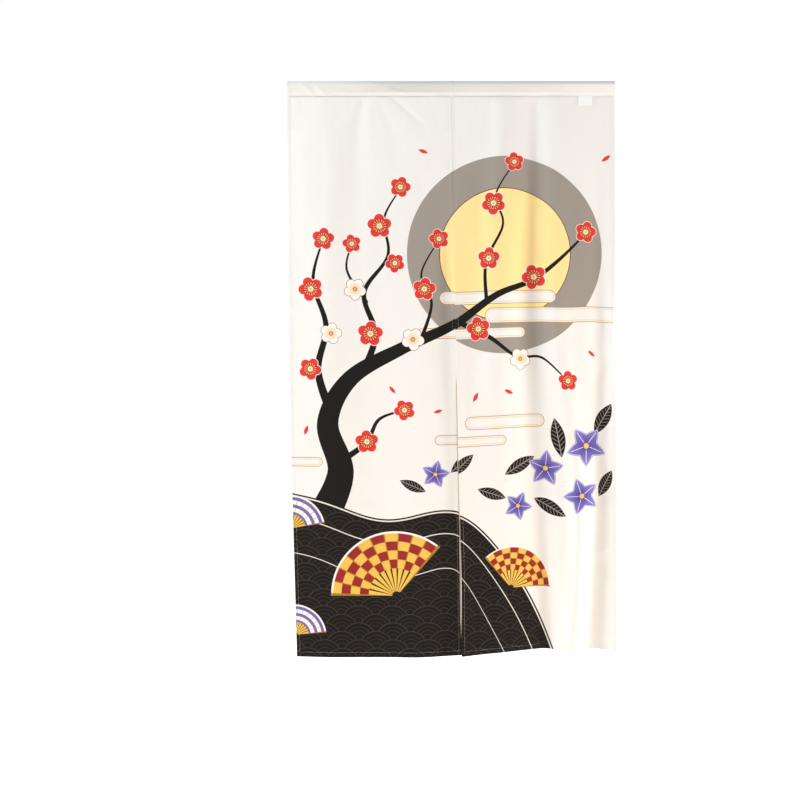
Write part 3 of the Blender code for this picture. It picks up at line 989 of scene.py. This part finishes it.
def printed_polyester(name, strength):
    """Plain-woven polyester with a dye print: matt, slightly fuzzy, its threads just seen.

    strength is how much of the print's colour shows, all of it on the face and less on the
    reverse, where the dye has only partly come through.
    """
    cloth = bpy.context.scene.noren_cloth
    material, tree, shader = new_material(name)
    place = flat_place(tree)

    layers = attribute(tree, "layers")
    ground = blend(tree, layers, cloth.single, cloth.layered)
    # Painted shade on the pocket, darker in places along the rod
    shaded = attribute(tree, "shaded")
    ground = blend(tree, shaded, ground, cloth.shaded)
    printed = printed_colour(tree, place, cloth, ground)
    # Painted warm shade on the unprinted strip along the slit
    selvage = attribute(tree, "selvage")
    printed = blend(tree, selvage, printed, cloth.selvage)
    bare = attribute(tree, "bare")
    shown = maths(tree, "MULTIPLY_ADD", bare, -strength, strength)
    colour = blend(tree, shown, ground, printed)

    # Threads: two sets of ridges that cross, each thread a little thicker or thinner
    turns = (2 * math.pi / cloth.thread_pitch,) * 3
    angles = add(tree, "VectorMath", place, turns, operation="MULTIPLY")
    ridges = add(tree, "VectorMath", angles, operation="SINE")
    ridge = add(tree, "SeparateXYZ", ridges).node
    weave = maths(tree, "MULTIPLY", ridge.outputs[0], ridge.outputs[1])
    warp = add(tree, "VectorMath", place, (900.0, 14.0, 1.0), operation="MULTIPLY")
    weft = add(tree, "VectorMath", place, (14.0, 900.0, 1.0), operation="MULTIPLY")
    warp = add(tree, "TexNoise", warp, None, 1.0, 2.0, 0.5)
    weft = add(tree, "TexNoise", weft, None, 1.0, 2.0, 0.5)
    slub = maths(tree, "ADD", warp, weft)
    height = maths(tree, "MULTIPLY_ADD", weave, 0.35, slub)
    tone = add(tree, "MapRange", height, 0.3, 1.7, 0.965, 1.035)
    mottle = add(tree, "TexNoise", place, None, 5.0, 3.0, 0.5)
    mottle = add(tree, "MapRange", mottle, 0.3, 0.7, 0.985, 1.015)
    tone = maths(tree, "MULTIPLY", tone, mottle)
    tinted = add(tree, "VectorMath", colour, tone, operation="SCALE")
    tree.links.new(tone, tinted.node.inputs["Scale"])
    tree.links.new(tinted, shader.inputs["Base Color"])

    bump = add(tree, "Bump", sockets={"Strength": 0.25, "Distance": 0.0002, "Height": height})
    tree.links.new(bump, shader.inputs["Normal"])
    shader.inputs["Roughness"].default_value = 0.88
    shader.inputs["Specular IOR Level"].default_value = 0.25
    shader.inputs["Sheen Weight"].default_value = 0.05
    shader.inputs["Sheen Roughness"].default_value = 0.5
    return material


def spun_thread():
    """Spun polyester thread: two plies twisted together, with a slight gloss."""
    cloth = bpy.context.scene.noren_cloth
    material, tree, shader = new_material("Spun polyester thread")
    place = add(tree, "TexCoord").node.outputs["Object"]
    ply = add(tree, "TexWave", place, 1400.0, 0.0, wave_type="BANDS", bands_direction="DIAGONAL")
    tone = blend(tree, ply, linear("#D9D7D2"), cloth.thread)
    tree.links.new(tone, shader.inputs["Base Color"])
    shader.inputs["Roughness"].default_value = 0.55
    return material


def satin_tape():
    """Woven satin tape: smooth, white and a little shiny, with fine lengthwise floats."""
    cloth = bpy.context.scene.noren_cloth
    material, tree, shader = new_material("Woven satin tape")
    uv = add(tree, "UVMap", uv_map="Flat cloth")
    fine = add(tree, "VectorMath", uv, (90.0, 8.0, 1.0), operation="MULTIPLY")
    floats = add(tree, "TexNoise", fine, None, 1.0, 3.0, 0.5)
    shade = blend(tree, floats, linear("#EEF1F1"), cloth.tape)
    bump = add(tree, "Bump", sockets={"Strength": 0.2, "Distance": 0.0001, "Height": floats})
    tree.links.new(shade, shader.inputs["Base Color"])
    tree.links.new(bump, shader.inputs["Normal"])
    shader.inputs["Roughness"].default_value = 0.42
    return material


def link(mesh, name, *materials):
    """A mesh object made from a bmesh, shaded smooth, with its place in its vertices."""
    data = bpy.data.meshes.new(name)
    mesh.to_mesh(data)
    mesh.free()
    data.shade_smooth()
    for material in materials:
        data.materials.append(material)
    piece = bpy.data.objects.new(name, data)
    bpy.context.scene.collection.objects.link(piece)
    return piece


def cloth_grid(columns, rows):
    """A bmesh grid, and the column and row numbers of its vertices."""
    mesh = bmesh.new()
    uv = mesh.loops.layers.uv.new("Flat cloth")
    bmesh.ops.create_grid(mesh, x_segments=columns - 1, y_segments=rows - 1, size=0.5)
    mesh.verts.ensure_lookup_table()
    co = np.array([vertex.co for vertex in mesh.verts])
    i = np.rint((co[:, 0] + 0.5) * (columns - 1)).astype(int)
    j = np.rint((co[:, 1] + 0.5) * (rows - 1)).astype(int)
    return mesh, i, j, uv


def lay(mesh, uv, points, flat):
    """Puts a grid's vertices at the points and its UV map at the flat places."""
    for vertex, point in zip(mesh.verts, points):
        vertex.co = point
    for part in mesh.faces:
        for corner in part.loops:
            corner[uv].uv = flat[corner.vert.index]
    bmesh.ops.reverse_faces(mesh, faces=mesh.faces)


def panel_columns():
    """Shares across a panel, close together at its sewn edges."""
    edge = np.array([0.0, 0.5, 1.2, 2.4, 4.2, 6.0, 7.2, 8.4, 10.0]) / PANEL_WIDTH
    inner = np.linspace(edge[-1], 1.0 - edge[-1], 100)[1:-1]
    return np.concatenate([edge, inner, 1.0 - edge[::-1]])


def hang_cloth(side, face, reverse):
    """One panel with its part of the pocket, as one cloth: from the edge of the flap in
    front, up and over the rod, down behind it, and on down to the bottom hem."""
    cloth = bpy.context.scene.noren_cloth
    shares = panel_columns()
    path = np.array(pocket_path())
    length = STITCH_Z - side.hem[0].z
    downs = np.linspace(0.0, 1.0 - HEM_ROWS_START / length, PANEL_ROWS)[1:]
    downs = np.concatenate([downs, 1.0 - np.array(HEM_ROWS) / length])
    mesh, i, j, uv = cloth_grid(len(shares), len(path) + len(downs))

    share = shares[i]
    in_pocket = j < len(path)
    down = np.where(in_pocket, 0.0, downs[np.clip(j - len(path), 0, None)])
    x, y, z = side.panel(share, down)

    bend = path[np.clip(j, 0, len(path) - 1)]
    left, right = side.ends(np.full(len(x), STITCH_Z))
    rod_x = left + share * (right - left)
    rod_z = bend[:, 1]
    rise = drape(side.folds, rod_x, np.minimum(rod_z, 0.0))
    front = bend[:, 0] < 0.0
    rise = rise + PUCKER_FACTOR * front * sum(dent_rise(dent, rod_x, rod_z) for dent in PUCKERS)
    ripple = uneven(rod_x, rod_z, 30.0, 9.0, 5.3) + 0.8 * uneven(rod_x, rod_z, 9.0, 40.0, 8.9)
    rise = rise + 0.5 * ripple * front * smooth((3.0 - rod_z) / 12.0)
    rise = rise + 0.35 * front * flap_layers(rod_z)
    x = np.where(in_pocket, rod_x, x)
    y = np.where(in_pocket, bend[:, 0] - rise, y + 0.4 * np.exp(-(STITCH_Z - z) / 4.0))
    z = np.where(in_pocket, rod_z, z)

    steps = np.hypot(*np.diff(path, axis=0).T)
    around = np.concatenate([[0.0], np.cumsum(steps)])
    flat_y = np.where(in_pocket, around[-1] - around[np.clip(j, 0, len(path) - 1)], -down * length)
    flat_x = (share - (1.0 if side.name == "left" else 0.0)) * PANEL_WIDTH
    low = through(side.hem, "share", share, "z")
    from_side = np.minimum(share, 1.0 - share) * PANEL_WIDTH
    over_hem = np.where(in_pocket, 99.0, z - low)
    hem = smooth((SIDE_HEM - from_side) / 4.0 + 0.5)
    hem = np.maximum(hem, smooth((BOTTOM_HEM - over_hem) / 3.0 + 0.5))
    layers = np.where(in_pocket, 0.7 * front * flap_layers(rod_z), 0.45 * hem)

    slip = PRINT_SLIP * smooth((-flat_y - PRINT_SLIP_START) / PRINT_SLIP_LENGTH)
    slip = slip * (side.name == "right")
    places = np.column_stack([flat_x, flat_y + slip]) * MM
    floats = {"moon": moon_field(places), "mist": mist_field(places), "water": water_field(places)}
    floats["layers"] = layers
    # Painted shade on the pocket: darkest around 90 mm left of the seam, again around 190 mm right of it,
    # and none on the flap's turned-in edge
    shade = 0.25 + 0.75 * hump((rod_x + 90.0) / 150.0) + 0.35 * hump((rod_x - 190.0) / 120.0)
    floats["shaded"] = np.where(in_pocket, shade * (1.0 - flap_layers(rod_z)), 0.0)
    floats["bare"] = np.where(in_pocket, 1.0, 0.0)
    # The unprinted strip at the slit, which takes a painted warm shade
    floats["selvage"] = np.where(in_pocket, 0.0, side.bare(share, z))
    vectors = {
        "trunk": stroke_field(places, TRUNK),
        "twigs": stroke_field(places, TWIGS),
        "blossom": motif_field(places, BLOSSOMS),
        "bell": motif_field(places, BELLS),
        "leaf": motif_field(places, LEAVES),
        "fan": motif_field(places, FANS),
    }
    points = np.column_stack([x, y, z]) * MM
    flat = (places + FLAT_START) / FLAT_SPAN
    lay(mesh, uv, points, flat)
    piece = link(mesh, f"{side.name}_cloth", face, reverse)
    for name, values in floats.items():
        layer = piece.data.attributes.new(name, "FLOAT", "POINT")
        layer.data.foreach_set("value", np.asarray(values, np.float32))
    for name, values in vectors.items():
        layer = piece.data.attributes.new(name, "FLOAT_VECTOR", "POINT")
        layer.data.foreach_set("vector", np.asarray(values, np.float32).ravel())
    hem_group = piece.vertex_groups.new(name="hem")
    for index in np.flatnonzero(hem > 0.01).tolist():
        hem_group.add([index], float(hem[index]), "REPLACE")
    wall = piece.modifiers.new("Cloth thickness", "SOLIDIFY")
    wall.thickness = cloth.thickness * HEM_FACTOR
    wall.thickness_vertex_group = 1 / HEM_FACTOR
    wall.vertex_group = "hem"
    wall.offset = 0.0
    wall.material_offset = 1
    wall.material_offset_rim = 1
    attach(piece, "root")
    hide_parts(f"{side.name}_panel", f"{side.name}_pocket")
    return piece


def stitch_run(points, toward):
    """Matrices that lay stitches, end to end, along a run of points on the cloth."""
    points = np.array(points)
    steps = np.hypot(*(np.diff(points, axis=0)[:, [0, 2]]).T)
    at = np.concatenate([[0.0], np.cumsum(steps)])
    places = []
    for middle in np.arange(STITCH_PITCH / 2, at[-1], STITCH_PITCH):
        start = [np.interp(middle - STITCH_REACH, at, points[:, k]) for k in range(3)]
        stop = [np.interp(middle + STITCH_REACH, at, points[:, k]) for k in range(3)]
        start, stop = Vector(start), Vector(stop)
        along = (stop - start).normalized()
        across = along.cross(Vector((0, toward, 0))).normalized()
        out = across.cross(along)
        lift = STITCH_STAND_OFF * (1 if out.y * toward < 0 else -1)
        centre = (start + stop) / 2 - out * lift
        turn = Matrix((along, across, out)).transposed().to_4x4()
        size = Matrix.Diagonal((*(half * MM for half in STITCH_SIZE), 1.0))
        places.append(Matrix.Translation(centre * MM) @ turn @ size)
    return places


class NOREN_OT_cloth(Operator):
    """Hangs the two printed panels, each with its part of the rod pocket"""

    bl_idname = "noren.cloth"
    bl_label = "Hang the cloth"
    bl_options = {"REGISTER", "UNDO"}

    def execute(self, context):
        face = printed_polyester("Printed polyester, face", 1.0)
        reverse = printed_polyester("Printed polyester, reverse", REVERSE_INK)
        for side in SIDES:
            hang_cloth(side, face, reverse)
        return {"FINISHED"}


class NOREN_OT_stitching(Operator):
    """Sews the pocket, the hems and the centre seam, on both faces of the cloth"""

    bl_idname = "noren.stitching"
    bl_label = "Sew the stitching"
    bl_options = {"REGISTER", "UNDO"}

    def execute(self, context):
        thread = spun_thread()
        for side in SIDES:
            mesh = bmesh.new()
            for toward in (-1.0, 1.0):
                for place in self.runs(side, toward):
                    bmesh.ops.create_icosphere(mesh, subdivisions=1, radius=1.0, matrix=place)
            piece = link(mesh, f"{side.name}_stitches", thread)
            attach(piece, "root")
        return {"FINISHED"}

    def runs(self, side, toward):
        length = STITCH_Z - side.hem[0].z
        downs = np.linspace(0.003, 1.0 - 2.0 / length, 400)
        places = []
        for share in (SIDE_HEM / PANEL_WIDTH, 1.0 - SIDE_HEM / PANEL_WIDTH):
            x, y, z = side.panel(np.full(len(downs), share), downs)
            places += stitch_run(np.column_stack([x, y, z]), toward)
        shares = np.linspace(2.0 / PANEL_WIDTH, 1.0 - 2.0 / PANEL_WIDTH, 160)
        x, y, z = side.panel(shares, np.full(len(shares), 1.0 - BOTTOM_HEM / length))
        places += stitch_run(np.column_stack([x, y, z]), toward)
        left, right = side.ends(np.full(len(shares), STITCH_Z))
        x = left + shares * (right - left)
        line = np.full(len(shares), STITCH_Z + 1.0)
        out = FLAP_STAND_OFF + 0.75 if toward < 0 else -0.75
        y = -drape(side.folds, x, line) - out
        places += stitch_run(np.column_stack([x, y, line]), toward)
        return places


class NOREN_OT_label(Operator):
    """Hangs the blank care label from the pocket's stitch line"""

    bl_idname = "noren.label"
    bl_label = "Sew in the label"
    bl_options = {"REGISTER", "UNDO"}

    def execute(self, context):
        columns, rows = 18, 16
        mesh, i, j, uv = cloth_grid(columns, rows)
        share = i / (columns - 1)
        down = j / (rows - 1)
        x = LABEL_LEFT + share * (LABEL_RIGHT - LABEL_LEFT)
        z = STITCH_Z + 0.5 - down * (LABEL_LENGTH + 0.5 - LABEL_SLANT * share)
        out = LABEL_STAND_OFF + LABEL_KICK * down**2 + 0.35 * np.sin(3.0 * share + 0.6) * down
        y = -out - drape(RIGHT_FOLDS, x, z)
        points = np.column_stack([x, y, z]) * MM
        lay(mesh, uv, points, np.column_stack([share, 1.0 - down]))
        piece = link(mesh, "care_label_tape", satin_tape())
        wall = piece.modifiers.new("Tape thickness", "SOLIDIFY")
        wall.thickness = 0.4 * MM
        wall.offset = 0.0
        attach(piece, "root")
        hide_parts("care_label")
        return {"FINISHED"}


class NOREN_OT_stage(Operator):
    """Lays the floor, sets the soft lights and places the camera as in the photograph"""

    bl_idname = "noren.stage"
    bl_label = "Set the stage"
    bl_options = {"REGISTER", "UNDO"}

    def execute(self, context):
        scene = context.scene
        studio = scene.noren_studio
        mesh = bmesh.new()
        bmesh.ops.create_grid(mesh, x_segments=1, y_segments=1, size=14.0)
        bmesh.ops.translate(mesh, vec=(0.0, 0.0, studio.floor), verts=mesh.verts)
        paint, tree, shader = new_material("Matt white floor paint")
        shader.inputs["Base Color"].default_value = (*studio.paper, 1.0)
        shader.inputs["Roughness"].default_value = 0.9
        shader.inputs["Specular IOR Level"].default_value = 0.0
        shader.inputs["Emission Color"].default_value = (*studio.paper, 1.0)
        seen = add(tree, "LightPath").node.outputs["Is Camera Ray"]
        tree.links.new(seen, shader.inputs["Emission Strength"])
        link(mesh, "floor", paint)

        world = bpy.data.worlds.new("Studio")
        world.use_nodes = True
        tree = world.node_tree
        sky = tree.nodes["Background"]
        seen = add(tree, "LightPath").node.outputs["Is Camera Ray"]
        strength = add(tree, "Mix", seen, studio.ambient, 1.0)
        sky.inputs["Color"].default_value = (*studio.paper, 1.0)
        tree.links.new(strength, sky.inputs["Strength"])
        scene.world = world

        # Name, place, width, height, power and colour of each area light; each faces the cloth
        lights = (
            ("left strip, high", (-2.4, -0.42, 0.6), 0.5, 1.0, studio.left, linear("#F3FAFF")),
            ("left strip, low", (-2.4, -0.42, -1.2), 0.5, 1.0, studio.left / 4, linear("#FFFBF7")),
            ("right strip, high", (2.5, -0.44, -0.3), 0.5, 1.0, studio.right, linear("#F3F9FF")),
            ("right strip, low", (2.5, -0.44, -1.2), 0.5, 1.0, studio.right, linear("#FFF0E2")),
            ("left front", (-1.6, -1.6, -0.4), 0.8, 1.2, studio.front, linear("#FFFFFA")),
            ("right front", (1.6, -1.6, -0.4), 0.8, 1.2, studio.front / 2, linear("#F9FDFF")),
            ("overhead", (-0.3, -1.7, 1.5), 1.6, 0.8, studio.overhead, linear("#F9FDFF")),
            ("bounce", (0.1, -1.5, -1.95), 1.6, 0.8, studio.bounce, linear("#FFCFA0")),
            ("behind", (0.7, 2.6, 0.2), 1.8, 1.8, studio.behind, linear("#FFFFFF")),
            ("bounce, right", (1.5, -1.5, -1.6), 0.8, 0.8, studio.bounce, linear("#FFD9B0")),
        )
        for name, place, width, height, power, tint in lights:
            data = bpy.data.lights.new(name, "AREA")
            data.shape = "RECTANGLE"
            data.size = width
            data.size_y = height
            data.energy = power
            data.color = tint
            lamp = bpy.data.objects.new(name, data)
            lamp.location = place
            aim = Vector((0.0, 0.0, -0.75)) - Vector(place)
            lamp.rotation_euler = aim.to_track_quat("-Z", "Y").to_euler()
            scene.collection.objects.link(lamp)

        camera = bpy.data.cameras.new("camera")
        camera.sensor_width = SENSOR
        camera.lens = SENSOR * studio.distance / (PHOTO_PIXELS * PHOTO_SCALE * MM)
        eye = bpy.data.objects.new("camera", camera)
        middle = PHOTO_PIXELS / 2
        eye.location = (
            (middle - PHOTO_CENTRE_X) * PHOTO_SCALE * MM,
            -studio.distance,
            (POCKET_RADIUS - (middle - PHOTO_TOP_Y) * PHOTO_SCALE) * MM,
        )
        eye.rotation_euler = (math.radians(90), 0.0, 0.0)
        scene.collection.objects.link(eye)
        scene.camera = eye
        scene.view_settings.view_transform = "Standard"
        return {"FINISHED"}


class NOREN_PT_sidebar(Panel):
    """Lists the steps and the sizes and colours behind them"""

    bl_idname = "NOREN_PT_sidebar"
    bl_label = "Noren curtain"
    bl_space_type = "VIEW_3D"
    bl_region_type = "UI"
    bl_category = "Noren"

    def draw(self, context):
        for operator in STEPS:
            self.layout.operator(operator.bl_idname)
        for group in (context.scene.noren_cloth, context.scene.noren_studio):
            box = self.layout.box()
            for name in group.__annotations__:
                box.prop(group, name)


STEPS = (NOREN_OT_stage, NOREN_OT_cloth, NOREN_OT_stitching, NOREN_OT_label)
CLASSES = (NorenCloth, NorenStudio, *STEPS, NOREN_PT_sidebar)


def register():
    for entry in CLASSES:
        bpy.utils.register_class(entry)
    bpy.types.Scene.noren_cloth = PointerProperty(type=NorenCloth)
    bpy.types.Scene.noren_studio = PointerProperty(type=NorenStudio)


def unregister():
    del bpy.types.Scene.noren_studio
    del bpy.types.Scene.noren_cloth
    for entry in reversed(CLASSES):
        bpy.utils.unregister_class(entry)


def main():
    register()
    bpy.ops.noren.stage()
    bpy.ops.noren.cloth()
    bpy.ops.noren.stitching()
    bpy.ops.noren.label()


if __name__ == "__main__":
    main()
